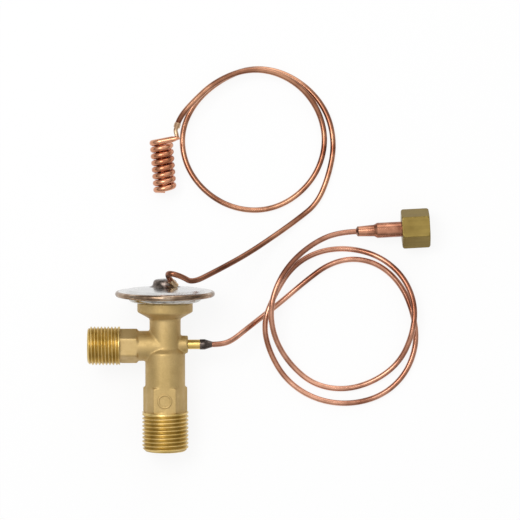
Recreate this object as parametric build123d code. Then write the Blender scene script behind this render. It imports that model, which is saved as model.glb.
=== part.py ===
"""Thermostatic expansion valve: right-angle body, diaphragm head, coiled sensing tube, equalizer line.

The valve is modelled upright, with its outlet end on Z = 0, its inlet towards -X and its equalizer
boss towards +X. It is then laid down with its outlet towards -Y, as it rests on a table, on the rim
of its head and on its outlet thread. Both copper lines lie on the same table, at Z = 0.
"""

from build123d import *
from math import asin, atan2, cos, degrees, hypot, pi, radians, sin, sqrt, tan
import os

os.makedirs("parts", exist_ok=True)

# ---- Body: where its outlet end lies over the table, and sizes along its axis from that end ----
outlet_end_y = 1.05
outlet_thread_d = 19.05
outlet_thread_length = 16.1
outlet_chamfer = 1.3
outlet_socket_d = 14.7
outlet_socket_depth = 9.0
outlet_lead_in = 0.5
lower_hex_af = 15.9
lower_hex_height = 10.45
hex_corner_trim = 0.45
hex_corner_slope = 0.6
barrel_d = 16.4
barrel_height = 14.1
shoulder_height = 2.05
shoulder_round = 0.8
neck_d = 12.8
neck_height = 12.05
neck_round = 1.0
taper_height = 2.8
collar_d = 22.8
collar_height = 4.1
collar_round = 0.5
emblem_d = 6.2
emblem_line = 0.6
emblem_height = 0.25

# ---- Inlet arm, along -X ----
inlet_above_shoulder = 2.8
inlet_reach = 31.8
inlet_thread_d = 15.875
inlet_thread_length = 13.2
inlet_chamfer = 1.1
inlet_socket_d = 11.8
inlet_socket_depth = 9.0
inlet_lead_in = 0.4
inlet_hex_af = 12.4
inlet_hex_length = 7.3
inlet_neck_d = 12.4
inlet_passage_d = 5.6
inlet_passage_past_axis = 1.4

# ---- Equalizer boss, along +X ----
boss_above_shoulder = 3.4
boss_d = 7.3
boss_reach = 9.4
boss_round = 0.5
stub_d = 3.95
stub_bore_d = 2.6
stub_length = 7.4
stub_seat_depth = 2.5
equalizer_drill_d = 1.7
equalizer_riser_x = 4.3
line_d = 2.3
stub_braze_d = 4.3
stub_braze_bead = 2.0
stub_braze_length = 5.0

# ---- Valve train inside the body ----
spring_bore_d = 12.4
port_below_inlet = 6.2
drop_passage_d = 4.4
seat_d = 5.6
seat_height = 4.0
port_d = 2.5
port_chamfer = 0.35
ball_d = 4.0
ball_over_carrier = 0.8
carrier_d = 11.2
carrier_flat = 4.2
carrier_thickness = 2.0
carrier_nose_d = 5.6
carrier_nose_height = 1.7
pin_d = 1.5
pin_circle_d = 8.2
pin_seal_d = 3.1
pin_seal_height = 1.5
spring_mean_d = 7.2
spring_wire = 0.9
spring_turns = 5.5
adjuster_inset = 4.0
adjuster_height = 4.5
adjuster_key_af = 5.0
strainer_bore_d = 9.2
strainer_bore_depth = 9.0
strainer_ring_height = 1.2
strainer_d = 7.4
strainer_length = 7.6
strainer_wall = 0.3

# ---- Diaphragm head ----
spigot_d = 16.0
spigot_bore_d = 12.4
spigot_length = 2.6
head_seal_thickness = 0.6
case_base_d = 26.0
case_d = 30.4
case_depth = 2.1
case_wall = 0.9
case_bulge = 0.4
case_shoulder_height = 1.45
rim_d = 41.0
flange_inner_d = 33.6
flange_thickness = 1.0
diaphragm_thickness = 0.3
rim_weld_width = 1.3
dome_rise = 0.75
dome_d = 31.2
dome_crown = 1.0
buffer_d = 24.0
buffer_thickness = 1.0
buffer_hub_d = 11.0
buffer_hub_height = 1.2
boss_skirt_d = 12.8
boss_dome_d = 9.8
boss_top_d = 6.6
boss_height = 3.1
boss_bore_d = 1.2
capillary_exit = (4.0, -2.4)
capillary_exit_below_top = 2.6
capillary_exit_way = (-0.42, -0.56, 0.71)
capillary_braze_length = 3.8
capillary_braze_d = 3.6

# ---- Sensing coil ----
coil_tube_d = 2.55
coil_d = 9.8
coil_pitch = 2.8
coil_turns = 7.5
coil_foot = (-0.5, 109.2)
coil_lean = 4.4
coil_rise = 12.0
coil_tail = 4.8
pinch_length = 3.0
pinch_width = 3.2
pinch_thickness = 1.1
sleeve_from_turn = 6.9
sleeve_knee = (-0.8, 3.4, -0.6)
sleeve_tip = (0.1, 6.2, -1.5)
sleeve_neck_d = 1.8
sleeve_d = 2.7
sleeve_length = 1.8

# ---- Equalizer fitting at the far end ----
nut_af = 14.2875
nut_length = 11.5
nut_corner_trim = 0.5
nut_tube_hole_d = 6.6
nut_thread_minor_d = 9.74
nut_thread_depth = 7.2
nut_relief_d = 10.4
nut_relief_length = 1.2
nut_lead_in = 0.6
fitting_end = (78.9, 92.0)
fitting_turn = 3.0
reducer_tube_d = 6.35
reducer_tube_wall = 0.8
reducer_sleeve_d = 4.2
reducer_sleeve_end_d = 4.9
reducer_sleeve_length = 6.4
reducer_step_length = 1.3
reducer_to_nut = 10.2
flare_d = 9.2
flare_lip = 0.56
end_braze_length = 1.1
end_braze_d = 4.2

# ---- Fits and allowances ----
press_gap = 0.02
running_gap = 0.04
hand_gap = 0.05
seat_gap = 0.05
table_gap = 0.05
arc_share = 0.45

# ---- Routes of the two copper lines over the table, chosen point by point ----
capillary_route = [
    (2.7, 72.5, 32.4),
    (7.3, 71.2, 30.9),
    (11.4, 69.0, 27.0),
    (20.0, 73.8, 21.4),
    (33.0, 81.7, 11.6),
    (45.0, 90.4, 4.4),
    (55.0, 97.9, 1.3),
    (62.9, 104.4, 1.2),
    (67.6, 115.6, 1.2),
    (70.2, 129.0, 1.2),
    (67.5, 142.2, 1.2),
    (59.4, 153.0, 1.2),
    (47.4, 160.2, 1.2),
    (34.0, 161.5, 1.2),
    (21.3, 155.7, 1.2),
    (11.2, 146.3, 1.2),
    (6.0, 134.2, 1.2),
    (7.5, 121.2, 1.2),
    (14.8, 110.1, 1.2),
    (26.2, 102.7, 1.2),
    (39.6, 100.9, 1.2),
    (52.0, 105.3, 1.2),
    (62.0, 115.2, 1.2),
    (66.6, 128.4, 1.2),
    (64.6, 141.6, 1.8),
    (57.0, 152.6, 4.4),
    (45.4, 159.1, 6.8),
    (32.6, 159.9, 8.2),
    (20.0, 154.3, 9.3),
    (11.2, 146.0, 9.9),
]
equalizer_route = [
    (27.2, 45.9, 15.1),
    (33.0, 50.9, 9.8),
    (39.4, 56.4, 3.0),
    (47.4, 62.8, 1.2),
    (58.4, 72.2, 1.2),
    (67.7, 79.1, 1.2),
    (78.4, 81.6, 1.2),
    (89.4, 78.6, 1.2),
    (98.2, 70.0, 1.2),
    (103.0, 58.0, 1.2),
    (104.3, 45.5, 1.2),
    (99.6, 32.8, 1.2),
    (89.6, 23.8, 1.2),
    (75.8, 20.3, 1.2),
    (62.0, 22.4, 1.2),
    (50.4, 29.8, 1.2),
    (43.2, 41.2, 2.2),
    (40.2, 53.4, 7.6),
    (44.9, 65.6, 8.0),
    (52.4, 77.8, 4.4),
    (63.2, 84.4, 1.6),
    (76.0, 85.8, 1.3),
    (89.0, 82.2, 2.6),
    (98.9, 73.2, 6.2),
    (103.6, 61.2, 6.6),
    (102.2, 49.0, 6.2),
    (97.0, 37.8, 2.6),
    (86.8, 30.0, 1.3),
    (74.0, 26.3, 1.2),
    (61.2, 28.6, 1.2),
    (51.2, 37.2, 2.4),
    (45.0, 47.4, 7.6),
    (43.1, 58.4, 12.2),
    (45.8, 69.4, 12.4),
    (52.1, 79.3, 10.6),
    (61.2, 87.1, 8.4),
]
equalizer_exit_run = 3.5
last_run = 8.0
capillary_last_run = 3.4
capillary_exit_run = 3.6

# ---- Heights that follow from the sizes above ----
coil_mean_r = (coil_d - coil_tube_d) / 2
hex_z = outlet_thread_length
barrel_z = hex_z + lower_hex_height
shoulder_z = barrel_z + barrel_height
neck_z = shoulder_z + shoulder_height
taper_z = neck_z + neck_height
collar_z = taper_z + taper_height
collar_top = collar_z + collar_height
inlet_z = shoulder_z + inlet_above_shoulder
boss_z = shoulder_z + boss_above_shoulder
recess_z = collar_top - spigot_length - head_seal_thickness
seat_top = inlet_z - port_below_inlet
chamber_top = seat_top - seat_height
ball_z = chamber_top - sqrt(ball_d**2 - port_d**2) / 2 - seat_gap
carrier_top = ball_z - ball_over_carrier
spring_top = carrier_top - carrier_thickness
spring_foot = outlet_socket_depth + adjuster_inset + adjuster_height
flange_z = collar_top + case_depth
diaphragm_z = flange_z + flange_thickness
cap_z = diaphragm_z + diaphragm_thickness
rim_top = cap_z + flange_thickness
dome_top = rim_top + dome_rise
crown_top = dome_top + dome_crown
boss_top = crown_top + boss_height
buffer_z = diaphragm_z - hand_gap - buffer_thickness
pin_top = buffer_z - buffer_hub_height


# ---- Helpers ----
def turned(*outline):
    """A turned solid about the Z axis, from its (radius, height) corners."""
    return revolve(Plane.XZ * make_face(Polyline(*outline, close=True)), axis=Axis.Z)


def rod(diameter, low, high):
    """An upright cylinder from one height to another."""
    return Pos(0, 0, low) * extrude(Circle(diameter / 2), high - low)


def hex_bar(across_flats, low, high):
    """An upright hexagonal bar with a flat towards -Y."""
    flats = RegularPolygon(across_flats / 2, 6, major_radius=False)
    return Pos(0, 0, low) * extrude(flats, high - low)


def trimmed_hex(across_flats, low, high, trim):
    """A hexagonal bar with its corners turned back at both ends."""
    corner_r = across_flats / sqrt(3)
    slope = trim * hex_corner_slope
    blank = turned(
        (0, low), (corner_r - trim, low), (corner_r, low + slope),
        (corner_r, high - slope), (corner_r - trim, high), (0, high),
    )
    return hex_bar(across_flats, low, high) & blank


def towards_inlet(piece):
    """Turns a piece drawn along Z so that it runs along -X at the inlet's height."""
    return Pos(0, 0, inlet_z) * Rot(0, -90, 0) * piece


def towards_boss(piece):
    """Turns a piece drawn along Z so that it runs along +X at the equalizer boss's height."""
    return Pos(0, 0, boss_z) * Rot(0, 90, 0) * piece


def at_pins(piece):
    """The piece at both push pins, in front of the axis and behind it."""
    return [Pos(0, side * pin_circle_d / 2, 0) * piece for side in (-1, 1)]


def bend_radii(corners):
    """The largest radius that the runs beside each corner allow."""
    radii = []
    for before, corner, after in zip(corners, corners[1:], corners[2:]):
        half_turn = radians((corner - before).get_angle(after - corner)) / 2
        shorter = min((corner - before).length, (after - corner).length)
        radii.append(arc_share * shorter / tan(half_turn))
    return radii


def tube(name, corners, diameter):
    """A copper line of straight runs joined by tangent arcs."""
    radii = bend_radii(corners)
    path = FilletPolyline(*corners, radius=radii)
    start = Plane(origin=path @ 0, z_dir=path % 0)
    line = sweep(start * Circle(diameter / 2), path=path)
    share = line.volume / (pi * diameter**2 / 4 * path.length)
    print(name, "length", round(path.length, 1), "volume / section x length", round(share, 4))
    print("  radii", [round(r, 1) for r in radii])
    return line


# ---- Body ----
def body_column():
    """The turned column: outlet thread, barrel, sloping shoulder, neck and collar."""
    thread_r, barrel_r, neck_r, collar_r = outlet_thread_d / 2, barrel_d / 2, neck_d / 2, collar_d / 2
    face = make_face(Polyline(
        (0, 0), (thread_r - outlet_chamfer, 0), (thread_r, outlet_chamfer), (thread_r, hex_z),
        (barrel_r, hex_z), (barrel_r, shoulder_z), (neck_r, neck_z), (neck_r, taper_z),
        (collar_r, collar_z), (collar_r, collar_top), (0, collar_top), close=True,
    ))
    rounds = [
        ((barrel_r, shoulder_z), shoulder_round), ((neck_r, neck_z), shoulder_round),
        ((neck_r, taper_z), neck_round), ((collar_r, collar_z), collar_round),
        ((collar_r, collar_top), collar_round),
    ]
    for corner, radius in rounds:
        face = fillet(face.vertices().sort_by_distance(corner)[0], radius)
    return revolve(Plane.XZ * face, axis=Axis.Z)


def inlet_arm():
    """The inlet's neck, hexagon and thread, along Z from the valve's axis."""
    thread_r = inlet_thread_d / 2
    hex_far = inlet_reach - inlet_thread_length
    neck = rod(inlet_neck_d, 0, hex_far - inlet_hex_length / 2)
    hexagon = trimmed_hex(inlet_hex_af, hex_far - inlet_hex_length, hex_far + hex_corner_trim, hex_corner_trim)
    thread = turned(
        (0, hex_far), (thread_r, hex_far), (thread_r, inlet_reach - inlet_chamfer),
        (thread_r - inlet_chamfer, inlet_reach), (0, inlet_reach),
    )
    return neck + hexagon + thread


def equalizer_boss():
    """The round boss that carries the equalizer stub, along Z from the valve's axis."""
    boss = rod(boss_d, 0, boss_reach)
    return fillet(boss.edges().group_by(Axis.Z)[-1], boss_round)


def inlet_cuts():
    """Socket, strainer bore and passage of the inlet."""
    socket = rod(inlet_socket_d, inlet_reach - inlet_socket_depth, inlet_reach)
    mouth = turned(
        (0, inlet_reach - inlet_lead_in), (inlet_socket_d / 2, inlet_reach - inlet_lead_in),
        (inlet_socket_d / 2 + inlet_lead_in, inlet_reach), (0, inlet_reach),
    )
    strainer_end = inlet_reach - inlet_socket_depth - strainer_bore_depth
    strainer_bore = rod(strainer_bore_d, strainer_end, inlet_reach - inlet_socket_depth)
    passage = rod(inlet_passage_d, -inlet_passage_past_axis, strainer_end)
    return [socket, mouth, strainer_bore, passage]


def column_cuts():
    """Outlet socket, spring bore, seat pocket, head recess, pin holes and pockets."""
    mouth = turned(
        (0, 0), (outlet_socket_d / 2 + outlet_lead_in, 0), (outlet_socket_d / 2, outlet_lead_in),
        (0, outlet_lead_in),
    )
    cuts = [
        mouth,
        rod(outlet_socket_d, 0, outlet_socket_depth),
        rod(spring_bore_d, outlet_socket_depth, chamber_top),
        rod(seat_d + 2 * press_gap, chamber_top, seat_top),
        rod(drop_passage_d, seat_top, inlet_z),
        rod(spigot_d + 2 * hand_gap, recess_z, collar_top),
    ]
    cuts += at_pins(rod(pin_d + 2 * running_gap, chamber_top, recess_z))
    cuts += at_pins(rod(pin_seal_d + 2 * press_gap, recess_z - pin_seal_height, recess_z))
    return cuts


def equalizer_cuts():
    """The stub's seat, the drilling behind it and the riser up to the diaphragm chamber."""
    seat = rod(stub_d + 2 * press_gap, boss_reach - stub_seat_depth, boss_reach)
    drill = rod(equalizer_drill_d, equalizer_riser_x, boss_reach - stub_seat_depth)
    riser = Pos(equalizer_riser_x, 0, 0) * rod(equalizer_drill_d, boss_z, recess_z)
    return [towards_boss(seat), towards_boss(drill), riser]


def emblem_ring():
    """A plain raised ring on the flat that faces the viewer."""
    ring = Circle(emblem_d / 2) - Circle(emblem_d / 2 - emblem_line)
    flat = Plane(origin=(0, -lower_hex_af / 2, hex_z + lower_hex_height / 2), z_dir=(0, -1, 0))
    return flat * extrude(ring, emblem_height)


def valve_body():
    """The forged and machined brass body."""
    body = body_column() + trimmed_hex(lower_hex_af, hex_z, barrel_z, hex_corner_trim)
    body += towards_inlet(inlet_arm())
    body += towards_boss(equalizer_boss())
    body += emblem_ring()
    for cut in column_cuts() + [towards_inlet(c) for c in inlet_cuts()] + equalizer_cuts():
        body -= cut
    return body


# ---- Valve train ----
def valve_seat():
    port_r = port_d / 2
    return turned(
        (port_r, chamber_top), (seat_d / 2, chamber_top), (seat_d / 2, seat_top),
        (port_r + port_chamfer, seat_top), (port_r, seat_top - port_chamfer),
    )


def valve_ball():
    return Pos(0, 0, ball_z) * Sphere(ball_d / 2)


def ball_carrier():
    """The cup under the ball, with flats for the flow and a nose inside the spring."""
    plate = rod(carrier_d, spring_top, carrier_top)
    plate &= Pos(0, 0, spring_top) * extrude(Rectangle(2 * carrier_flat, carrier_d), carrier_thickness)
    nose = rod(carrier_nose_d, spring_top - carrier_nose_height, spring_top)
    nose = chamfer(nose.edges().group_by(Axis.Z)[0], port_chamfer)
    return plate + nose - Pos(0, 0, ball_z) * Sphere(ball_d / 2 + press_gap)


def push_pins():
    pins = at_pins(rod(pin_d, carrier_top, pin_top))
    return Compound(children=[pin.solid() for pin in pins])


def pin_seals():
    ring = rod(pin_seal_d, recess_z - pin_seal_height, recess_z)
    ring -= rod(pin_d + 2 * press_gap, recess_z - pin_seal_height, recess_z)
    return Compound(children=[seal.solid() for seal in at_pins(ring)])


def buffer_plate():
    """The plate under the diaphragm, with the hub that the push pins bear on."""
    plate = rod(buffer_d, buffer_z, buffer_z + buffer_thickness)
    return plate + rod(buffer_hub_d, pin_top, buffer_z)


def superheat_spring():
    """A square-wire compression spring with ground ends."""
    height = spring_top - spring_foot
    pitch = height / spring_turns
    helix = Helix(pitch, height + pitch, spring_mean_d / 2, center=(0, 0, spring_foot - pitch / 2))
    section = Plane(origin=helix @ 0, z_dir=helix % 0) * Rectangle(spring_wire, spring_wire)
    wire = sweep(section, path=helix, is_frenet=True)
    return wire & rod(spring_mean_d + 4 * spring_wire, spring_foot, spring_top)


def spring_adjuster():
    """The threaded ring that loads the spring, with a hexagon for the key and the flow."""
    low = spring_foot - adjuster_height
    ring = rod(spring_bore_d - 2 * running_gap, low, spring_foot)
    return ring - hex_bar(adjuster_key_af, low, spring_foot)


# ---- Strainer ----
def strainer_seat():
    """Distance of the strainer's flange face from the valve's axis."""
    return inlet_reach - inlet_socket_depth


def strainer_ring():
    face = strainer_seat()
    ring = rod(strainer_bore_d - 2 * press_gap, face - strainer_ring_height, face)
    return towards_inlet(ring - rod(strainer_d, face - strainer_ring_height, face))


def strainer_screen():
    """A thimble of fine mesh, closed towards the valve."""
    face = strainer_seat()
    thimble = rod(strainer_d, face - strainer_length, face)
    inside = rod(strainer_d - 2 * strainer_wall, face - strainer_length + strainer_wall, face)
    return towards_inlet(thimble - inside)


# ---- Head ----
def head_seal():
    low = recess_z
    ring = rod(spigot_d, low, low + head_seal_thickness)
    return ring - rod(spigot_bore_d, low, low + head_seal_thickness)


def bulged(foot, head):
    """An arc between two corners of an outline, bulging outwards and down by the case's bulge."""
    way = Vector(*head) - Vector(*foot)
    middle = (Vector(*foot) + Vector(*head)) / 2
    return ThreePointArc(foot, middle + Vector(way.Y, -way.X).normalized() * case_bulge, head)


def lower_case():
    """The pressed lower half of the head, with the spigot that fits the body's recess."""
    outer_r, inner_r, base_r = case_d / 2, case_d / 2 - case_wall, case_base_d / 2
    edge_r, flange_r = rim_d / 2 - rim_weld_width, flange_inner_d / 2
    floor, shoulder = collar_top + case_wall, collar_top + case_shoulder_height
    outside = Polyline(
        (spigot_d / 2, recess_z + head_seal_thickness), (spigot_d / 2, collar_top), (base_r, collar_top),
    ) + bulged((base_r, collar_top), (outer_r, shoulder))
    flange = Polyline(
        (outer_r, shoulder), (flange_r - flange_thickness, flange_z), (edge_r, flange_z),
        (edge_r, diaphragm_z), (flange_r, diaphragm_z), (inner_r, shoulder + flange_thickness),
    )
    inside = bulged((base_r, floor), (inner_r, shoulder + flange_thickness)) + Polyline(
        (base_r, floor), (spigot_bore_d / 2, floor),
        (spigot_bore_d / 2, recess_z + head_seal_thickness), (spigot_d / 2, recess_z + head_seal_thickness),
    )
    return revolve(Plane.XZ * make_face(outside + flange + inside), axis=Axis.Z)


def diaphragm():
    return rod(rim_d - 2 * rim_weld_width, diaphragm_z, cap_z)


def upper_cap():
    """The pressed upper half of the head, raised inside its flange."""
    edge_r, ramp_r, dome_r = rim_d / 2 - rim_weld_width, flange_inner_d / 2, dome_d / 2
    inner_r, crown_r = boss_bore_d / 2, boss_skirt_d / 2
    under = cap_z + dome_rise
    return turned(
        (inner_r, under + dome_crown), (crown_r, under + dome_crown), (dome_r, under), (ramp_r, cap_z),
        (edge_r, cap_z), (edge_r, rim_top), (ramp_r, rim_top), (dome_r, dome_top),
        (crown_r, crown_top), (inner_r, crown_top),
    )


def rim_weld():
    """The rounded bead that closes the rim over both flanges and the diaphragm."""
    inner_r, outer_r = rim_d / 2 - rim_weld_width, rim_d / 2
    half = (rim_top - flange_z) / 2
    bead = Polyline((inner_r, flange_z), (outer_r - half, flange_z)) + ThreePointArc(
        (outer_r - half, flange_z), (outer_r, flange_z + half), (outer_r - half, rim_top)
    ) + Polyline((outer_r - half, rim_top), (inner_r, rim_top), (inner_r, flange_z))
    return revolve(Plane.XZ * make_face(bead), axis=Axis.Z)


def capillary_boss():
    """The domed ferrule in the middle of the head, bored through to the charge space."""
    skirt_r, dome_r, top_r, bore_r = boss_skirt_d / 2, boss_dome_d / 2, boss_top_d / 2, boss_bore_d / 2
    waist = crown_top + boss_height / 2
    flank = Spline((skirt_r, crown_top), (dome_r, waist), tangents=((-1, 0.3), (-0.1, 1)))
    crown = Spline((dome_r, waist), (top_r, boss_top), tangents=((-0.1, 1), (-1, 0.1)))
    sides = Polyline((top_r, boss_top), (bore_r, boss_top), (bore_r, crown_top), (skirt_r, crown_top))
    return revolve(Plane.XZ * make_face(flank + crown + sides), axis=Axis.Z)


def capillary_start():
    """Where the sensing line leaves the boss, and its way there, in the upright valve."""
    way = Vector(*capillary_exit_way).normalized()
    root = Vector(*capillary_exit, boss_top - capillary_exit_below_top)
    return root + way * capillary_braze_length, way


def capillary_braze(boss, cap):
    """The fillet of braze round the sensing line, on the side of the boss."""
    tip, way = capillary_start()
    foot = Plane(origin=tip - way * capillary_braze_length, z_dir=way)
    fillet_cone = foot * Pos(0, 0, capillary_braze_length / 2) * Cone(
        capillary_braze_d / 2, line_d / 2, capillary_braze_length
    )
    return fillet_cone - boss - cap


# ---- Equalizer stub ----
def equalizer_stub():
    low = boss_reach - stub_seat_depth
    high = low + stub_length
    return towards_boss(rod(stub_d, low, high) - rod(stub_bore_d, low, high))


def equalizer_braze():
    """The cone of braze between the stub's end and the thin line."""
    low = boss_reach - stub_seat_depth + stub_length
    bead, tip = low + stub_braze_bead, low + stub_braze_length
    middle = (bead + tip) / 2
    return towards_boss(turned(
        (0, low), (stub_braze_d / 2, low), (stub_braze_d / 2, bead),
        ((stub_braze_d + line_d) / 4, middle), (line_d / 2 + hand_gap, tip), (0, tip),
    ))


# ---- How the valve lies on the table ----
def lying():
    """The lie of the valve, resting on its outlet thread and on the bead of its rim."""
    bead_r = (rim_top - flange_z) / 2
    along = flange_z + bead_r - outlet_chamfer
    across = rim_d / 2 - bead_r - outlet_thread_d / 2
    lean = atan2(across, along) + asin(bead_r / hypot(across, along))
    height = outlet_thread_d / 2 * cos(lean) - outlet_chamfer * sin(lean)
    print("lean", round(degrees(lean), 4), "height of the outlet's centre", round(height, 4))
    return Plane(origin=(0, outlet_end_y, height), x_dir=(1, 0, 0), z_dir=(0, cos(lean), sin(lean)))


# ---- Sensing coil ----
def coil_plane():
    """The coil's own frame: Z up its axis, which climbs from its foot, X away from the table."""
    lean, rise = radians(coil_lean), radians(coil_rise)
    along = Vector(-sin(lean) * cos(rise), cos(lean) * cos(rise), sin(rise))
    away = Vector(sin(lean) * sin(rise), -cos(lean) * sin(rise), cos(rise))
    height = coil_mean_r * cos(rise) + coil_tube_d / 2 + table_gap
    return Plane(origin=(*coil_foot, height), x_dir=away, z_dir=along)


def coil_end():
    """The end of the coil's last turn, on top, and its way there, in the coil's own frame."""
    rise = coil_pitch / (2 * pi * coil_mean_r)
    return Vector(coil_mean_r, 0, coil_pitch * coil_turns), Vector(0, 1, rise).normalized()


def sensing_coil():
    """The close-wound sensing tube, with a short straight tail that is pinched flat."""
    helix = Rot(0, 0, -360 * coil_turns) * Helix(coil_pitch, coil_pitch * coil_turns, coil_mean_r)
    turns = sweep(Plane(origin=helix @ 0, z_dir=helix % 0) * Circle(coil_tube_d / 2), path=helix,
                  is_frenet=True)
    at, way = coil_end()
    tail_start = Plane(origin=at, x_dir=(1, 0, 0), z_dir=way)
    tail = tail_start * extrude(Circle(coil_tube_d / 2), coil_tail)
    round_end = tail_start * Pos(0, 0, coil_tail) * Circle(coil_tube_d / 2)
    flat_end = tail_start * Pos(0, 0, coil_tail + pinch_length) * Rectangle(pinch_width, pinch_thickness)
    pinch = loft([round_end.face(), flat_end.face()])
    return turns + tail + pinch


def sleeve_points():
    """The sleeve's foot in the coil's tail, its knee and its tip, which comes down from the tail."""
    at, way = coil_end()
    foot = coil_plane().from_local_coords(at + way * sleeve_from_turn)
    return foot, foot + Vector(*sleeve_knee), foot + Vector(*sleeve_tip)


def capillary_sleeve(coil):
    """The thin neck out of the coil's tail and the soldered socket that takes the sensing line."""
    foot, knee, tip = sleeve_points()
    way = (tip - knee).normalized()
    neck_end = tip - way * sleeve_length
    path = FilletPolyline(foot, knee, neck_end, radius=sleeve_neck_d)
    neck = sweep(Plane(origin=foot, z_dir=path % 0) * Circle(sleeve_neck_d / 2), path=path)
    socket = Plane(origin=neck_end, z_dir=way) * extrude(Circle(sleeve_d / 2), sleeve_length)
    socket = chamfer(socket.edges().group_by(Axis.Y)[0], (sleeve_d - sleeve_neck_d) / 3)
    return neck + socket - coil


# ---- Equalizer fitting ----
def fitting_plane():
    """The fitting's own frame: Z along its axis from the end of the thin line."""
    turn = radians(fitting_turn)
    return Plane(origin=(*fitting_end, nut_af / 2), x_dir=(sin(turn), -cos(turn), 0),
                 z_dir=(cos(turn), sin(turn), 0))


def end_braze():
    """The ring of braze where the thin line enters the sleeve."""
    return turned(
        (0, 0), (line_d / 2 + hand_gap, 0), (end_braze_d / 2, (end_braze_d - line_d) / 3),
        (end_braze_d / 2, end_braze_length), (0, end_braze_length),
    )


def equalizer_reducer():
    """The copper sleeve, stepped up to the flared tube that the nut holds."""
    sleeve_r, sleeve_end_r, tube_r = reducer_sleeve_d / 2, reducer_sleeve_end_d / 2, reducer_tube_d / 2
    bore_r = tube_r - reducer_tube_wall
    start = end_braze_length
    step = start + reducer_sleeve_length
    wide = step + reducer_step_length
    seat = wide + reducer_to_nut + nut_seat_depth() - (flare_d - reducer_tube_d) / 2
    seat -= running_gap
    rise = (flare_d - reducer_tube_d) / 2
    wall = reducer_tube_wall
    return turned(
        (line_d / 2, start), (sleeve_r, start), (sleeve_end_r, step), (tube_r, wide), (tube_r, seat),
        (tube_r + rise, seat + rise), (tube_r + rise - flare_lip, seat + rise + flare_lip),
        (bore_r, seat + wall * tan(radians(22.5))), (bore_r, wide), (line_d / 2, step),
    )


def nut_seat_depth():
    """Distance of the wide end of the nut's 45-degree seat from its back face."""
    return nut_length - nut_thread_depth


def flare_nut():
    """The hexagonal nut: its 45-degree seat, a relief, and its thread opening away from the line."""
    back = end_braze_length + reducer_sleeve_length + reducer_step_length + reducer_to_nut
    front = back + nut_length
    hole_r, thread_r, relief_r = nut_tube_hole_d / 2, nut_thread_minor_d / 2, nut_relief_d / 2
    seat = back + nut_seat_depth()
    relief = seat + nut_relief_length
    bore = turned(
        (0, back), (hole_r, back), (hole_r, seat - (thread_r - hole_r)), (thread_r, seat),
        (relief_r, seat), (relief_r, relief), (thread_r, relief),
        (thread_r, front - nut_lead_in), (thread_r + nut_lead_in, front), (0, front),
    )
    return trimmed_hex(nut_af, back, front, nut_corner_trim) - bore


# ---- Lines ----
def equalizer_line(lie):
    """The equalizer line, from the braze at the stub to the braze at the fitting."""
    stub_end = boss_reach - stub_seat_depth + stub_length
    start = lie.from_local_coords(Vector(stub_end + stub_braze_length, 0, boss_z))
    second = start + Vector(equalizer_exit_run, 0, 0)
    fitting = fitting_plane()
    end = fitting.origin
    before_end = end - fitting.z_dir * last_run
    corners = [start, second] + [Vector(*p) for p in equalizer_route] + [before_end, end]
    return tube("equalizer_tube", corners, line_d)


def capillary_line(lie):
    """The sensing line, from the braze at the head to the sleeve at the coil."""
    tip, way = capillary_start()
    start = lie.from_local_coords(tip)
    second = lie.from_local_coords(tip + way * capillary_exit_run)
    foot, knee, end = sleeve_points()
    before_end = end + (end - knee).normalized() * capillary_last_run
    corners = [start, second] + [Vector(*p) for p in capillary_route] + [before_end, end]
    return tube("sensing_capillary", corners, line_d)


# ---- Assembly ----
def valve_nodes():
    cap, boss = upper_cap(), capillary_boss()
    return {
        "valve_body": valve_body(),
        "valve_seat": valve_seat(),
        "valve_ball": valve_ball(),
        "ball_carrier": ball_carrier(),
        "push_pins": push_pins(),
        "pin_seals": pin_seals(),
        "buffer_plate": buffer_plate(),
        "superheat_spring": superheat_spring(),
        "spring_adjuster": spring_adjuster(),
        "strainer_ring": strainer_ring(),
        "strainer_screen": strainer_screen(),
        "head_seal": head_seal(),
        "lower_case": lower_case(),
        "diaphragm": diaphragm(),
        "upper_cap": cap,
        "rim_weld": rim_weld(),
        "capillary_boss": boss,
        "capillary_braze": capillary_braze(boss, cap),
        "equalizer_stub": equalizer_stub(),
        "equalizer_braze": equalizer_braze(),
    }


def fitting_nodes():
    place = fitting_plane()
    return {
        "equalizer_end_braze": place * end_braze(),
        "equalizer_reducer": place * equalizer_reducer(),
        "equalizer_nut": place * flare_nut(),
    }


def main():
    lie = lying()
    placed = {name: lie * piece for name, piece in valve_nodes().items()}
    box = Compound(children=[solid for piece in placed.values() for solid in piece.solids()]).bounding_box()
    home = Pos(-box.center().X, -box.center().Y, -box.min.Z)
    print("home", tuple(round(v, 4) for v in home.position))
    coil = coil_plane() * sensing_coil()
    placed["sensing_coil"] = coil
    placed["capillary_sleeve"] = capillary_sleeve(coil)
    placed["sensing_capillary"] = capillary_line(lie)
    placed["equalizer_tube"] = equalizer_line(lie)
    placed.update(fitting_nodes())
    for name, piece in placed.items():
        export_step(home * piece, f"parts/{name}.step")


main()
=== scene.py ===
"""Looks of a thermostatic expansion valve: forged brass body, steel head, two copper lines, flare nut."""

import math

import bmesh
import bpy
from mathutils import Matrix, Vector


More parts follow.
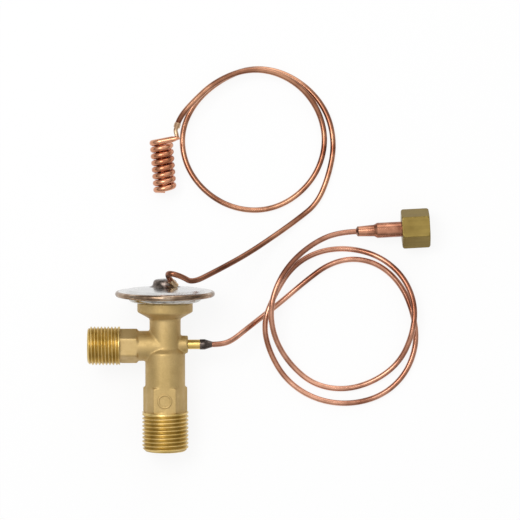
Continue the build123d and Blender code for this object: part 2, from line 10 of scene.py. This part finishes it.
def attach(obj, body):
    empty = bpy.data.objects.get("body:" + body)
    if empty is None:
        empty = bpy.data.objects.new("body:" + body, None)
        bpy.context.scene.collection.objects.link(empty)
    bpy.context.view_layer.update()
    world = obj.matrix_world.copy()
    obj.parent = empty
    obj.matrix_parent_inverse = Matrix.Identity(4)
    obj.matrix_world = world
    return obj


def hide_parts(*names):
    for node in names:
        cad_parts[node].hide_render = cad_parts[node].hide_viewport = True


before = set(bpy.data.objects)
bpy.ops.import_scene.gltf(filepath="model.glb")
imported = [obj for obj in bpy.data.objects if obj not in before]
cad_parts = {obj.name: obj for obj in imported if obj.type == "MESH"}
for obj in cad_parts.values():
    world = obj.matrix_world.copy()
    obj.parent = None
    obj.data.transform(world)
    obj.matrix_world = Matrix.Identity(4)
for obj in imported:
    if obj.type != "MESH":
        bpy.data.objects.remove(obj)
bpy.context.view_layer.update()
scene = bpy.context.scene

MM = 0.001
WHITE = (1.0, 1.0, 1.0)

# ---- Frames that pieces are drawn in, all in millimetres ----
HOME = Vector((5.65, -35.5665, 0.0))
LEAN = math.radians(9.8056)
OUTLET_HEIGHT = 9.1645
OUTLET_END_Y = 1.05
FITTING_END = Vector((78.9, 92.0, 7.14375))
FITTING_TURN = math.radians(3.0)

BENCH = Matrix.Scale(MM, 4) @ Matrix.Translation(HOME)
VALVE = BENCH @ Matrix((
    (1, 0, 0, 0),
    (0, math.sin(LEAN), math.cos(LEAN), OUTLET_END_Y),
    (0, -math.cos(LEAN), math.sin(LEAN), OUTLET_HEIGHT),
    (0, 0, 0, 1),
))
FITTING = BENCH @ Matrix((
    (math.sin(FITTING_TURN), 0, math.cos(FITTING_TURN), FITTING_END.x),
    (-math.cos(FITTING_TURN), 0, math.sin(FITTING_TURN), FITTING_END.y),
    (0, -1, 0, FITTING_END.z),
    (0, 0, 0, 1),
))

# ---- Sizes of the valve that the looks share with the CAD, in millimetres ----
OUTLET_THREAD_R = 9.525
OUTLET_THREAD_END = 16.1
OUTLET_CHAMFER = 1.3
OUTLET_PITCH = 1.5875
INLET_THREAD_R = 7.9375
INLET_HEIGHT = 43.45
INLET_REACH = 31.8
INLET_THREAD_LENGTH = 13.2
INLET_CHAMFER = 1.1
INLET_PITCH = 1.4111
LOWER_FLAT = 7.95
NUT_FLAT = 7.14375
NUT_BACK = 19.0
NUT_LENGTH = 11.5
NUT_THREAD_R = 4.87
NUT_THREAD_START = 24.5
NUT_PITCH = 1.27
EMBLEM_HEIGHT = 21.325
EMBLEM_R = 3.1
EMBLEM_LINE = 0.95
EMBLEM_RISE = 0.30
LINE_D = 2.3

# ---- Sizes of what is cut or worn only here, in millimetres ----
# Under each cut thread the plain cylinder is drawn in by its skin depth, a little more than the thread's.
OUTLET_THREAD_DEPTH, OUTLET_SKIN_DEPTH = 0.92, 1.1
INLET_THREAD_DEPTH, INLET_SKIN_DEPTH = 0.82, 1.0
NUT_THREAD_DEPTH, NUT_SKIN_DEPTH = 0.65, 0.75
NUT_THREAD_CHAMFER = 0.6
NUT_FACE_EDGE = 0.15
NUT_CORNER_RISE, NUT_CORNER_LENGTH = 1.0, 1.3
NUT_BORE_ZONE_R = 6.0
THREAD_BACKING = 0.4
THREAD_FADE_PITCHES = 0.8
ROOT_SHARE, FLANK_SHARE = 0.12, 0.7
EMBLEM_ZONE = 3.3
EMBLEM_SINK, EMBLEM_KEEL = 0.02, 0.1
BODY_VOXEL, NUT_VOXEL = 0.33, 0.17
SMOOTHING_ROUNDS = 3
TOLERANCE = 0.01

ARM = VALVE @ Matrix.Translation((0, 0, INLET_HEIGHT)) @ Matrix.Rotation(math.radians(-90), 4, "Y")
ARM_END = ARM @ Matrix.Translation((0, 0, INLET_REACH)) @ Matrix.Rotation(math.pi, 4, "X")
FRONT = (VALVE @ Matrix.Translation((0, -LOWER_FLAT, EMBLEM_HEIGHT))
         @ Matrix.Rotation(math.radians(90), 4, "X"))
NUT_MOUTH = (FITTING @ Matrix.Translation((0, 0, NUT_BACK + NUT_LENGTH))
             @ Matrix.Rotation(math.pi, 4, "X"))

# ---- Routes of the two lines over the bench, in millimetres ----
SENSING_POINTS = [
    (2.399, 70.246, 25.725), (0.883, 72.428, 28.154),
    (2.7, 72.5, 32.4), (7.3, 71.2, 30.9), (11.4, 69.0, 27.0), (20.0, 73.8, 21.4), (33.0, 81.7, 11.6),
    (45.0, 90.4, 4.4), (55.0, 97.9, 1.3), (62.9, 104.4, 1.2), (67.6, 115.6, 1.2), (70.2, 129.0, 1.2),
    (67.5, 142.2, 1.2), (59.4, 153.0, 1.2), (47.4, 160.2, 1.2), (34.0, 161.5, 1.2), (21.3, 155.7, 1.2),
    (11.2, 146.3, 1.2), (6.0, 134.2, 1.2), (7.5, 121.2, 1.2), (14.8, 110.1, 1.2), (26.2, 102.7, 1.2),
    (39.6, 100.9, 1.2), (52.0, 105.3, 1.2), (62.0, 115.2, 1.2), (66.6, 128.4, 1.2), (64.6, 141.6, 1.8),
    (57.0, 152.6, 4.4), (45.4, 159.1, 6.8), (32.6, 159.9, 8.2), (20.0, 154.3, 9.3), (11.2, 146.0, 9.9),
    (5.842, 139.571, 10.463), (4.847, 136.476, 11.458),
]
EQUALIZER_POINTS = [
    (19.3, 44.456, 16.666), (22.8, 44.456, 16.666),
    (27.2, 45.9, 15.1), (33.0, 50.9, 9.8), (39.4, 56.4, 3.0), (47.4, 62.8, 1.2), (58.4, 72.2, 1.2),
    (67.7, 79.1, 1.2), (78.4, 81.6, 1.2), (89.4, 78.6, 1.2), (98.2, 70.0, 1.2), (103.0, 58.0, 1.2),
    (104.3, 45.5, 1.2), (99.6, 32.8, 1.2), (89.6, 23.8, 1.2), (75.8, 20.3, 1.2), (62.0, 22.4, 1.2),
    (50.4, 29.8, 1.2), (43.2, 41.2, 2.2), (40.2, 53.4, 7.6), (44.9, 65.6, 8.0), (52.4, 77.8, 4.4),
    (63.2, 84.4, 1.6), (76.0, 85.8, 1.3), (89.0, 82.2, 2.6), (98.9, 73.2, 6.2), (103.6, 61.2, 6.6),
    (102.2, 49.0, 6.2), (97.0, 37.8, 2.6), (86.8, 30.0, 1.3), (74.0, 26.3, 1.2), (61.2, 28.6, 1.2),
    (51.2, 37.2, 2.4), (45.0, 47.4, 7.6), (43.1, 58.4, 12.2), (45.8, 69.4, 12.4), (52.1, 79.3, 10.6),
    (61.2, 87.1, 8.4), (70.911, 91.581, 7.144), (78.9, 92.0, 7.144),
]


# ---- Meshes ----
def add_piece(name, mesh, body, material, replaces=()):
    """Links a mesh or curve as a piece that rides on a CAD body and stands for the CAD nodes named."""
    piece = bpy.data.objects.new(name, mesh)
    scene.collection.objects.link(piece)
    piece.data.materials.clear()
    piece.data.materials.append(material)
    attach(piece, body)
    if replaces:
        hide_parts(*replaces)
    return piece


def shade_smooth(mesh):
    """Marks every face of a mesh as smooth."""
    for polygon in mesh.polygons:
        polygon.use_smooth = True


def rings_mesh(name, points, steps, place):
    """A closed smooth mesh from rings of points in millimetres, the last ring joined to the first."""
    count = len(points)
    faces = []
    for here in range(0, count, steps):
        after = (here + steps) % count
        for step in range(steps):
            turn = (step + 1) % steps
            faces.append((here + step, here + turn, after + turn, after + step))
    mesh = bpy.data.meshes.new(name)
    mesh.from_pydata([place @ Vector(point) for point in points], [], faces)
    mesh.validate()
    shade_smooth(mesh)
    return mesh


def around(radius, height, share):
    """The point at a radius and height, a share of a turn round the frame's axis."""
    return radius * math.cos(share * math.tau), radius * math.sin(share * math.tau), height


def turned_ring(name, outline, place, steps):
    """A turned ring from its closed (radius, height) outline."""
    points = [around(radius, height, step / steps) for radius, height in outline for step in range(steps)]
    mesh = rings_mesh(name, points, steps, place)
    mesh.set_sharp_from_angle(angle=math.radians(40))
    return mesh


def thread_shape(share):
    """Height of a 60-degree thread over one pitch, from 0 in its root to 1 on its crest."""
    flank = abs(share % 1 - 0.5) * 2
    return min(max((flank - ROOT_SHARE) / FLANK_SHARE, 0), 1)


def thread(name, place, crest_r, depth, pitch, length, chamfer, steps=120, rows_a_pitch=12, out=1):
    """A shell whose groove winds up the axis and fades out at the far end; out is -1 in a bore."""
    rows = int(length / pitch * rows_a_pitch)
    points, grooves = [], []
    for row in range(rows + 1):
        height = length * row / rows
        worn = max(chamfer - height, 0)
        fade = min((length - height) / (THREAD_FADE_PITCHES * pitch), 1)
        for step in range(steps):
            share = step / steps
            cut = depth * (1 - thread_shape(height / pitch - share)) * fade
            points.append(around(crest_r - out * max(cut, worn), height, share))
            grooves.append(cut / depth)
    core = crest_r - out * (depth + THREAD_BACKING)
    for height in (length, 0.0):
        points += [around(core, height, step / steps) for step in range(steps)]
        grooves += [0.0] * steps
    mesh = rings_mesh(name, points, steps, place)
    mesh.attributes.new("groove", "FLOAT", "POINT").data.foreach_set("value", grooves)
    return mesh


def modified(mesh, kind, **settings):
    """A mesh as one modifier with the given settings makes it."""
    carrier = bpy.data.objects.new("work", mesh)
    scene.collection.objects.link(carrier)
    modifier = carrier.modifiers.new("work", kind)
    for setting, value in settings.items():
        setattr(modifier, setting, value)
    result = bpy.data.meshes.new_from_object(
        carrier.evaluated_get(bpy.context.evaluated_depsgraph_get()))
    bpy.data.objects.remove(carrier)
    return result


def softened(source, name, place, voxel, shape, trim=None):
    """A copy of a CAD node's mesh, reshaped, remeshed evenly, trimmed and worn round at its edges."""
    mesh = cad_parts[source].data.copy()
    mesh.name = name
    mesh.materials.clear()
    mesh.transform(place.inverted())
    work = bmesh.new()
    work.from_mesh(mesh)
    bmesh.ops.remove_doubles(work, verts=work.verts, dist=1e-4)
    for vert in work.verts:
        vert.co = shape(vert.co)
    work.to_mesh(mesh)
    work.free()
    result = modified(mesh, "REMESH", mode="VOXEL", voxel_size=voxel)
    if trim:
        for vert in result.vertices:
            vert.co = trim(vert.co)
    result = modified(result, "SMOOTH", factor=0.5, iterations=SMOOTHING_ROUNDS)
    result.transform(place)
    shade_smooth(result)
    result.name = name
    return result


def line_curve(name, points):
    """A copper line: one NURBS spline that has the route's points as its control points."""
    curve = bpy.data.curves.new(name, "CURVE")
    curve.dimensions = "3D"
    curve.bevel_depth = LINE_D / 2 * MM
    curve.bevel_resolution = 8
    curve.resolution_u = 16
    curve.use_fill_caps = True
    spline = curve.splines.new("NURBS")
    spline.points.add(len(points) - 1)
    for point, corner in zip(spline.points, points):
        point.co = (*(BENCH @ Vector(corner)), 1)
    spline.order_u = 3
    spline.use_endpoint_u = True
    return curve


# ---- Materials ----
def node(tree, kind, inputs=(), **settings):
    """A new shader node; inputs pairs each socket with a number, a colour or another node's output."""
    made = tree.nodes.new("ShaderNode" + kind)
    for setting, value in settings.items():
        setattr(made, setting, value)
    for socket, value in inputs:
        if isinstance(value, bpy.types.NodeSocket):
            tree.links.new(value, made.inputs[socket])
        else:
            made.inputs[socket].default_value = value
    return made


def spread(tree, value, low, high, from_low, from_high):
    """A value stretched to run from low to high."""
    return node(tree, "MapRange", (
        ("Value", value), ("From Min", from_low), ("From Max", from_high), ("To Min", low), ("To Max", high),
    )).outputs["Result"]


class Finish:
    """A metal or plastic whose colour, gloss and relief vary over the surface."""

    def __init__(self, name, place=None):
        self.material = bpy.data.materials.new(name)
        self.material.use_nodes = True
        self.tree = self.material.node_tree
        self.shader = self.tree.nodes["Principled BSDF"]
        self.space = self.node("TexCoord").outputs["Object"]
        if place:
            back = place.inverted()
            self.space = self.node("Mapping", (
                ("Vector", self.space), ("Rotation", back.to_euler()),
                ("Location", back.to_translation() * MM),
            ), vector_type="POINT").outputs["Vector"]

    def node(self, kind, inputs=(), **settings):
        """A new node of this material."""
        return node(self.tree, kind, inputs, **settings)

    def noise(self, scale, detail=3, stretch=(1, 1, 1), distortion=0.0):
        """Noise from 0 to 1, with features of about 1/scale metres."""
        squeezed = self.node("Mapping", (("Vector", self.space), ("Scale", stretch))).outputs["Vector"]
        return self.node("TexNoise", (
            ("Vector", squeezed), ("Scale", scale), ("Detail", detail), ("Distortion", distortion),
        )).outputs["Fac"]

    def rings(self, scale):
        """Noise from 0 to 1 that changes only with the distance from the frame's axis."""
        flat = self.node("VectorMath", ((0, self.space), (1, (1, 1, 0))), operation="MULTIPLY")
        radius = self.node("VectorMath", ((0, flat.outputs["Vector"]),), operation="LENGTH")
        return self.node("TexNoise", (
            ("W", radius.outputs["Value"]), ("Scale", scale), ("Detail", 3),
        ), noise_dimensions="1D").outputs["Fac"]

    def ramp(self, value, *stops):
        """Colours along a value, each stop a place and a colour."""
        ramp = self.node("ValToRGB", (("Fac", value),))
        elements = ramp.color_ramp.elements
        while len(elements) < len(stops):
            elements.new(0.5)
        for element, (place, colour) in zip(elements, stops):
            element.position = place
            element.color = (*colour, 1)
        return ramp.outputs["Color"]

    def mixed(self, factor, first, second, blend="MIX"):
        """One colour mixed into another by a value or a number."""
        return self.node("Mix", (
            ("Factor", factor), ("A", first), ("B", second),
        ), data_type="RGBA", blend_type=blend).outputs["Result"]

    def spread(self, value, low, high, from_low=0.3, from_high=0.7):
        """A value of this material stretched to run from low to high."""
        return spread(self.tree, value, low, high, from_low, from_high)

    def relief(self, *layers):
        """Stacks bumps, each a value and its height in millimetres."""
        below = ()
        for value, height in layers:
            bump = self.node("Bump", (
                ("Strength", 1.0), ("Distance", height * MM), ("Height", value), *below,
            ))
            below = (("Normal", bump.outputs["Normal"]),)
        self.tree.links.new(bump.outputs["Normal"], self.shader.inputs["Normal"])

    def surface(self, colour, roughness, metallic=1.0):
        """Sets the colour and roughness from values that vary, and how metallic it is."""
        self.tree.links.new(colour, self.shader.inputs["Base Color"])
        self.tree.links.new(roughness, self.shader.inputs["Roughness"])
        self.shader.inputs["Metallic"].default_value = metallic
        return self.material


def forged_brass():
    """Tan satin brass with the fine orange-peel grain of a tumbled forging."""
    finish = Finish("forged_brass", VALVE)
    cloud, grain = finish.noise(90, 4), finish.noise(2600, 2)
    tone = finish.ramp(cloud, (0.30, (0.49, 0.345, 0.135)), (0.55, (0.57, 0.405, 0.17)),
                       (0.75, (0.64, 0.47, 0.22)))
    speck = finish.ramp(grain, (0.35, (0.82, 0.80, 0.76)), (0.65, WHITE))
    colour = finish.mixed(0.6, tone, speck, "MULTIPLY")
    finish.relief((cloud, 0.06), (grain, 0.012))
    return finish.surface(colour, finish.spread(finish.noise(500, 3), 0.44, 0.60), 0.75)


def turned_brass():
    """Deep gold brass with the fine rings of a turning tool."""
    finish = Finish("turned_brass", VALVE)
    rings = finish.noise(1500, 2, (0.02, 0.02, 1.0))
    cloud = finish.noise(140, 3)
    colour = finish.ramp(cloud, (0.3, (0.60, 0.39, 0.10)), (0.7, (0.76, 0.54, 0.18)))
    finish.relief((rings, 0.008), (finish.noise(3000, 2), 0.004))
    return finish.surface(colour, finish.spread(cloud, 0.24, 0.36))


def thread_brass():
    """Gold brass of the cut threads: the crests in the brass's own gold, the roots darker olive as painted
    shade in the grooves.
    """
    finish = Finish("thread_brass")
    cloud, grain = finish.noise(160, 4), finish.noise(2400, 2)
    groove = finish.node("Attribute", attribute_name="groove")
    crest = finish.ramp(cloud, (0.3, (0.58, 0.40, 0.115)), (0.7, (0.78, 0.58, 0.24)))
    # The root colour is painted shade: it darkens the thread by how deep its groove is.
    root = finish.ramp(cloud, (0.3, (0.35, 0.225, 0.038)), (0.7, (0.54, 0.38, 0.105)))
    depth = finish.spread(groove.outputs["Fac"], 0.0, 1.0, 0.30, 1.0)
    finish.relief((grain, 0.006), (cloud, 0.03))
    return finish.surface(finish.mixed(depth, crest, root), finish.spread(grain, 0.26, 0.38), 0.88)


def nut_brass():
    """Olive, slightly dulled brass with drawn lines along the bar."""
    finish = Finish("nut_brass", FITTING)
    drawn = finish.noise(1200, 3, (1.0, 1.0, 0.04))
    cloud = finish.noise(120, 4)
    tone = finish.ramp(cloud, (0.3, (0.19, 0.127, 0.028)), (0.7, (0.28, 0.20, 0.052)))
    streak = finish.ramp(drawn, (0.35, (0.80, 0.80, 0.78)), (0.6, WHITE))
    colour = finish.mixed(0.5, tone, streak, "MULTIPLY")
    finish.relief((drawn, 0.012), (finish.noise(2500, 2), 0.006))
    return finish.surface(colour, finish.spread(cloud, 0.32, 0.46), 0.8)


def copper(name, dark=(0.25, 0.090, 0.050), light=(0.76, 0.40, 0.27), gloss=(0.16, 0.28), patch=45,
           flame=None):
    """Drawn copper tube, salmon with darker handled patches, darkened by the flame near one point."""
    finish = Finish(name)
    patches, cloud = finish.noise(patch, 5, distortion=0.6), finish.noise(260, 4)
    middle = tuple((a + b) / 2 for a, b in zip(dark, light))
    tone = finish.ramp(patches, (0.34, dark), (0.50, middle), (0.66, light))
    speck = finish.ramp(cloud, (0.30, (0.70, 0.66, 0.64)), (0.60, WHITE))
    colour = finish.mixed(0.55, tone, speck, "MULTIPLY")
    if flame:
        away = finish.node("VectorMath", ((0, finish.space), (1, flame)), operation="DISTANCE")
        heat = finish.ramp(away.outputs["Value"], (0.008, (0.36, 0.27, 0.25)), (0.034, (0.50, 0.42, 0.40)),
                           (0.062, WHITE))
        colour = finish.mixed(0.9, colour, heat, "MULTIPLY")
    finish.relief((patches, 0.03), (finish.noise(2400, 2), 0.003))
    return finish.surface(colour, finish.spread(cloud, *gloss))


def head_steel():
    """Bright pressed stainless steel with faint spun rings and cloudy stains."""
    finish = Finish("head_steel", VALVE)
    cloud, spun = finish.noise(110, 4), finish.rings(1300)
    tone = finish.ramp(cloud, (0.3, (0.60, 0.595, 0.59)), (0.6, (0.74, 0.74, 0.735)))
    line = finish.ramp(spun, (0.35, (0.86, 0.86, 0.86)), (0.6, WHITE))
    finish.relief((spun, 0.006), (cloud, 0.02))
    return finish.surface(finish.mixed(0.8, tone, line, "MULTIPLY"), finish.spread(cloud, 0.16, 0.28))


def case_steel():
    """The lower half of the head: the same steel, painted greyer as shade under the rim, with darker streaks
    running round the axis.
    """
    finish = Finish("case_steel", VALVE)
    cloud, streaks = finish.noise(110, 4), finish.noise(300, 4, (1, 1, 2.5), 0.6)
    # This tone is painted darker than the cap's steel, as shade on the underside below the rim.
    tone = finish.ramp(cloud, (0.3, (0.42, 0.405, 0.37)), (0.65, (0.62, 0.60, 0.56)))
    streak_tone = finish.ramp(streaks, (0.34, (0.45, 0.38, 0.32)), (0.50, WHITE))
    finish.relief((streaks, 0.02), (cloud, 0.02))
    return finish.surface(finish.mixed(0.8, tone, streak_tone, "MULTIPLY"), finish.spread(cloud, 0.20, 0.34))


def rim_steel():
    """The welded rim: steel tinted bronze and straw by the heat, with a rippled bead."""
    finish = Finish("rim_steel", VALVE)
    cloud, ripple = finish.noise(120, 3), finish.noise(1500, 2)
    colour = finish.ramp(cloud, (0.32, (0.11, 0.066, 0.042)), (0.48, (0.30, 0.205, 0.135)),
                         (0.66, (0.62, 0.50, 0.39)))
    finish.relief((ripple, 0.02), (cloud, 0.05))
    return finish.surface(colour, finish.spread(ripple, 0.16, 0.28))


def dark_metal(name, dark, light, gloss):
    """Metal darkened by flame, blotched and slightly pitted."""
    finish = Finish(name)
    cloud, pits = finish.noise(380, 4, distortion=0.8), finish.noise(1900, 3)
    colour = finish.ramp(cloud, (0.35, dark), (0.65, light))
    finish.relief((cloud, 0.12), (pits, 0.03))
    return finish.surface(colour, finish.spread(pits, *gloss))


def plain_steel(name, dark, light, gloss, metallic=1.0):
    """Clean ground metal or moulded plastic of the inner pieces."""
    finish = Finish(name, VALVE)
    cloud, fine = finish.noise(200, 3), finish.noise(2200, 3)
    colour = finish.ramp(cloud, (0.3, dark), (0.7, light))
    finish.relief((fine, 0.006))
    return finish.surface(colour, finish.spread(fine, *gloss), metallic)


FORGED = forged_brass()
TURNED = turned_brass()
THREAD = thread_brass()
NUT = nut_brass()
COPPER = copper("copper_line")
HEATED_COPPER = copper("heated_copper", (0.19, 0.062, 0.032), (0.80, 0.42, 0.255), (0.14, 0.26), 38,
                       BENCH @ Vector(SENSING_POINTS[0]))
COIL_COPPER = copper("coil_copper", (0.50, 0.190, 0.095), (0.84, 0.45, 0.28), (0.14, 0.26))
HEAD = head_steel()
CASE = case_steel()
RIM = rim_steel()
FERRULE = dark_metal("ferrule_dark", (0.050, 0.040, 0.035), (0.23, 0.185, 0.16), (0.20, 0.36))
BRAZE = dark_metal("braze_dark", (0.022, 0.018, 0.016), (0.17, 0.135, 0.12), (0.20, 0.36))
REDUCER_COPPER = copper("reducer_copper", (0.19, 0.060, 0.032), (0.60, 0.28, 0.17), (0.14, 0.28), 130)
END_BRAZE = dark_metal("end_braze", (0.10, 0.045, 0.030), (0.62, 0.36, 0.25), (0.26, 0.42))
BRAZE_GOLD = dark_metal("braze_gold", (0.42, 0.27, 0.15), (0.88, 0.68, 0.44), (0.16, 0.30))
SLEEVE = dark_metal("sleeve_solder", (0.36, 0.19, 0.11), (0.82, 0.60, 0.38), (0.20, 0.34))
STEEL = plain_steel("plain_steel", (0.52, 0.52, 0.52), (0.68, 0.68, 0.68), (0.20, 0.34))
SEAL = plain_steel("seal_white", (0.70, 0.70, 0.68), (0.80, 0.80, 0.78), (0.45, 0.60), 0.0)


# ---- CAD pieces that keep their own shape ----
CAD_FINISHES = {
    "valve_seat": STEEL, "valve_ball": STEEL, "push_pins": STEEL, "buffer_plate": STEEL,
    "diaphragm": STEEL, "superheat_spring": STEEL, "strainer_screen": STEEL, "strainer_ring": TURNED,
    "ball_carrier": TURNED, "spring_adjuster": TURNED, "equalizer_stub": TURNED, "pin_seals": SEAL,
    "head_seal": SEAL, "lower_case": CASE, "upper_cap": HEAD, "rim_weld": RIM, "capillary_boss": FERRULE,
    "capillary_braze": BRAZE_GOLD, "equalizer_braze": BRAZE, "sensing_coil": COIL_COPPER,
    "capillary_sleeve": SLEEVE, "equalizer_end_braze": END_BRAZE, "equalizer_reducer": REDUCER_COPPER,
}
for name, material in CAD_FINISHES.items():
    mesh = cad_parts[name].data
    mesh.materials.clear()
    mesh.materials.append(material)
    shade_smooth(mesh)
    mesh.set_sharp_from_angle(angle=math.radians(35))


# ---- Valve body ----
def body_skin(point):
    """Draws the plain thread cylinders in under their cut threads, and flattens the ring's place."""
    across = Vector((point.x, point.y))
    if point.z < OUTLET_THREAD_END + TOLERANCE and abs(across.length - OUTLET_THREAD_R) < 2 * TOLERANCE:
        across *= (OUTLET_THREAD_R - OUTLET_SKIN_DEPTH) / OUTLET_THREAD_R
        return Vector((across.x, across.y, point.z))
    if (point.y < -LOWER_FLAT - TOLERANCE and abs(point.x) < EMBLEM_ZONE
            and abs(point.z - EMBLEM_HEIGHT) < EMBLEM_ZONE):
        return Vector((point.x, -LOWER_FLAT, point.z))
    beside = Vector((point.y, point.z - INLET_HEIGHT))
    if (point.x < INLET_THREAD_LENGTH - INLET_REACH + TOLERANCE
            and abs(beside.length - INLET_THREAD_R) < 2 * TOLERANCE):
        beside *= (INLET_THREAD_R - INLET_SKIN_DEPTH) / INLET_THREAD_R
        return Vector((point.x, beside.x, beside.y + INLET_HEIGHT))
    return point


def emblem_outline():
    """The (radius, height) outline of the raised ring, a half round on a short keel below the surface."""
    turns = [math.pi * step / 10 for step in range(11)]
    top = [(EMBLEM_R - EMBLEM_LINE * (1 - math.cos(turn)) / 2, EMBLEM_RISE * math.sin(turn) - EMBLEM_SINK)
           for turn in turns]
    return top + [(EMBLEM_R - EMBLEM_LINE / 2, -EMBLEM_KEEL)]


add_piece("forged_body", softened("valve_body", "forged_body", VALVE, BODY_VOXEL, body_skin),
          "valve", FORGED, ["valve_body"])
add_piece("outlet_thread", thread("outlet_thread", VALVE, OUTLET_THREAD_R, OUTLET_THREAD_DEPTH, OUTLET_PITCH,
                                  OUTLET_THREAD_END, OUTLET_CHAMFER), "valve", THREAD)
add_piece("inlet_thread", thread("inlet_thread", ARM_END, INLET_THREAD_R, INLET_THREAD_DEPTH, INLET_PITCH,
                                 INLET_THREAD_LENGTH, INLET_CHAMFER), "valve", THREAD)
add_piece("emblem_ring", turned_ring("emblem_ring", emblem_outline(), FRONT, 96), "valve", FORGED)


# ---- Flare nut ----
def nut_ends(point):
    """Rounds the corners of the nut towards its two faces."""
    inward = min(point.z - NUT_BACK, NUT_BACK + NUT_LENGTH - point.z)
    rise = math.sqrt(max(1 - (1 - min(inward / NUT_CORNER_LENGTH, 1)) ** 2, 0))
    limit = NUT_FLAT + NUT_FACE_EDGE + NUT_CORNER_RISE * rise
    across = math.hypot(point.x, point.y)
    if across <= limit or across < NUT_BORE_ZONE_R:
        return point
    return Vector((point.x * limit / across, point.y * limit / across, point.z))


def nut_bore(point):
    """Opens the nut's plain thread bore out to the roots of its thread."""
    across = math.hypot(point.x, point.y)
    if point.z < NUT_THREAD_START - TOLERANCE or abs(across - NUT_THREAD_R) > 2 * TOLERANCE:
        return point
    wider = (NUT_THREAD_R + NUT_SKIN_DEPTH) / across
    return Vector((point.x * wider, point.y * wider, point.z))


add_piece("flare_nut", softened("equalizer_nut", "flare_nut", FITTING, NUT_VOXEL, nut_bore, nut_ends),
          "nut", NUT, ["equalizer_nut"])
add_piece("nut_thread", thread("nut_thread", NUT_MOUTH, NUT_THREAD_R, NUT_THREAD_DEPTH, NUT_PITCH,
                               NUT_BACK + NUT_LENGTH - NUT_THREAD_START, NUT_THREAD_CHAMFER, 96, 10, -1),
          "nut", THREAD)


# ---- Copper lines ----
sensing_line = add_piece("sensing_line", line_curve("sensing_line", SENSING_POINTS), "valve", HEATED_COPPER,
                         ["sensing_capillary"])
equalizer_line = add_piece("equalizer_line", line_curve("equalizer_line", EQUALIZER_POINTS), "valve", COPPER,
                           ["equalizer_tube"])


# ---- Floor, world, lamps and camera ----
# All in metres. The walls and the ceiling are placed by how far up a direction points.
FLOOR_REACH = 3.0
FLOOR_DROP = 0.00005
FLOOR_PALE = 0.95
FLOOR_GLOW = 0.88
WALLS_AT, CEILING_AT = 0.15, 0.85
# Each lamp's name, side, watts and place.
LAMPS = (
    ("key", 0.5, 4.0, (-0.28, 0.22, 0.95)),
    ("fill", 0.7, 2.2, (0.25, 1.05, 0.42)),
)
LAMP_TARGET = (0.04, 0.05, 0.0)
CAMERA_TILT = math.radians(5)
CAMERA_DISTANCE = 1.4
VIEW_WIDTH = 0.2155
VIEW_CENTRE = BENCH @ Vector((39.01, 79.95, 9.0))
SENSOR_WIDTH = 36


def seen_directly(tree):
    """1 for rays from the camera, a mirror-like reflection or glass, and 0 for light that shades."""
    path = node(tree, "LightPath")
    total = path.outputs["Is Camera Ray"]
    for ray in ("Is Glossy Ray", "Is Transmission Ray"):
        total = node(tree, "Math", ((0, total), (1, path.outputs[ray])), operation="MAXIMUM").outputs["Value"]
    return total


def blended(tree, factor, first, second):
    """The first value where the factor is 0 and the second where it is 1."""
    return node(tree, "Mix", (("Factor", factor), ("A", first), ("B", second))).outputs["Result"]


def make_floor():
    """A pale floor that shows as white and keeps a faint shadow."""
    mesh = bpy.data.meshes.new("floor")
    corners = [(x * FLOOR_REACH, y * FLOOR_REACH, 0) for x, y in ((-1, -1), (1, -1), (1, 1), (-1, 1))]
    mesh.from_pydata(corners, [], [(0, 1, 2, 3)])
    floor = bpy.data.objects.new("floor", mesh)
    floor.location.z = -FLOOR_DROP
    scene.collection.objects.link(floor)
    material = bpy.data.materials.new("floor")
    material.use_nodes = True
    tree = material.node_tree
    tree.nodes.clear()
    share = node(tree, "Math", ((0, seen_directly(tree)), (1, FLOOR_GLOW)), operation="MULTIPLY")
    lit = node(tree, "BsdfDiffuse", (("Color", (FLOOR_PALE, FLOOR_PALE, FLOOR_PALE, 1)),))
    glow = node(tree, "Emission", (("Color", (*WHITE, 1)),))
    mix = node(tree, "MixShader", ((0, share.outputs["Value"]), (1, lit.outputs[0]), (2, glow.outputs[0])))
    node(tree, "OutputMaterial", (("Surface", mix.outputs[0]),))
    floor.data.materials.append(material)


def make_world():
    """White to the camera; a bright ceiling and darker walls for gloss and for the light that shades."""
    world = bpy.data.worlds.new("studio")
    scene.world = world
    world.use_nodes = True
    tree = world.node_tree
    direction = node(tree, "TexCoord").outputs["Generated"]
    height = node(tree, "SeparateXYZ", (("Vector", direction),)).outputs["Z"]
    mirrored, shading = (spread(tree, height, walls, ceiling, WALLS_AT, CEILING_AT)
                         for walls, ceiling in ((0.30, 1.0), (0.30, 0.75)))
    strength = blended(tree, seen_directly(tree), shading, mirrored)
    camera = node(tree, "LightPath").outputs["Is Camera Ray"]
    background = tree.nodes["Background"]
    background.inputs["Color"].default_value = (*WHITE, 1)
    tree.links.new(blended(tree, camera, strength, 1.0), background.inputs["Strength"])


def make_lamp(name, size, watts, where):
    """A square soft lamp that faces the part."""
    lamp = bpy.data.lights.new(name, "AREA")
    lamp.size = size
    lamp.energy = watts
    holder = bpy.data.objects.new(name, lamp)
    holder.location = where
    holder.rotation_euler = (Vector(LAMP_TARGET) - Vector(where)).to_track_quat("-Z", "Y").to_euler()
    scene.collection.objects.link(holder)


def make_camera():
    """Looks down on the bench, tilted a few degrees, from well above it."""
    camera = bpy.data.cameras.new("camera")
    camera.sensor_width = SENSOR_WIDTH
    camera.lens = SENSOR_WIDTH * CAMERA_DISTANCE / VIEW_WIDTH
    camera.clip_start, camera.clip_end = 0.05, 20
    holder = bpy.data.objects.new("camera", camera)
    away = Vector((0, -math.sin(CAMERA_TILT), math.cos(CAMERA_TILT)))
    holder.location = VIEW_CENTRE + away * CAMERA_DISTANCE
    holder.rotation_euler = (CAMERA_TILT, 0, 0)
    scene.collection.objects.link(holder)
    scene.camera = holder


scene.view_settings.view_transform = "Standard"
make_floor()
make_world()
for lamp_settings in LAMPS:
    make_lamp(*lamp_settings)
make_camera()
